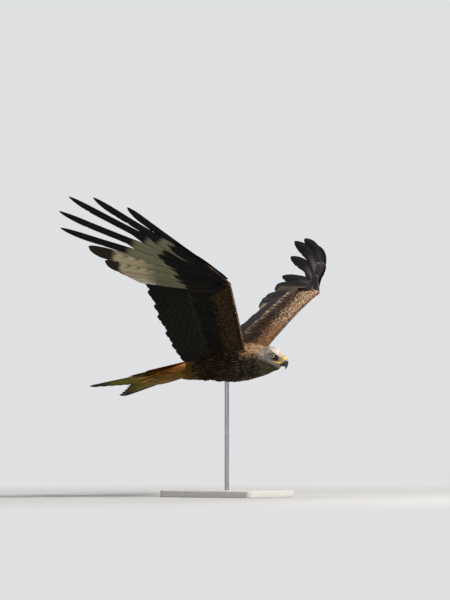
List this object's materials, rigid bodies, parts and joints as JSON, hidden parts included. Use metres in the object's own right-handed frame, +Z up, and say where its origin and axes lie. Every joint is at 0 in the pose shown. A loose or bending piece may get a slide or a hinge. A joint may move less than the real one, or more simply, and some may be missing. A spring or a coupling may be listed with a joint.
{
  "type": "red kite bird model",
  "caption": "Life-size red kite in level flight with raised, spread wings and a forked tail, held over a flat base by one rod.",
  "frame": {"origin": "centre of the flat underside of the stand's base", "axes": "+X where the bird flies to, +Y to its left, +Z up"},
  "size_m": [0.5909, 1.196, 0.8097],
  "materials": {
    "body_feathers": "soft contour feathers, rufous brown with dark streaks",
    "neck_feathers": "soft contour feathers, buff with brown streaks",
    "head_feathers": "short feathers, grey white with fine dark streaks",
    "wing_feathers": "vanes, blackish brown above and grey below with a pale window",
    "tail_feathers": "vanes, rufous orange with dark outer edges",
    "leg_feathers": "soft feathers of the thigh, rufous brown",
    "cere": "waxy yellow skin",
    "horn": "dark horn with a soft polish",
    "eye": "clear cornea over a pale iris and a black pupil",
    "foot_skin": "scaled yellow skin with black claws",
    "stand_base": "smooth pale painted wood",
    "stand_rod": "satin steel"
  },
  "bodies": {
    "root": {"torso": "body_feathers", "neck": "neck_feathers", "head": "head_feathers", "upper_bill": "horn", "lower_bill": "horn", "cere": "cere", "eye_right": "eye", "eye_left": "eye", "wing_right_arm": "wing_feathers", "wing_right_hand": "wing_feathers", "wing_left_arm": "wing_feathers", "wing_left_hand": "wing_feathers", "tail": "tail_feathers", "leg_right": "leg_feathers", "foot_right": "foot_skin", "leg_left": "leg_feathers", "foot_left": "foot_skin", "stand_base": "stand_base", "stand_rod": "stand_rod"}
  },
  "joints": []
}
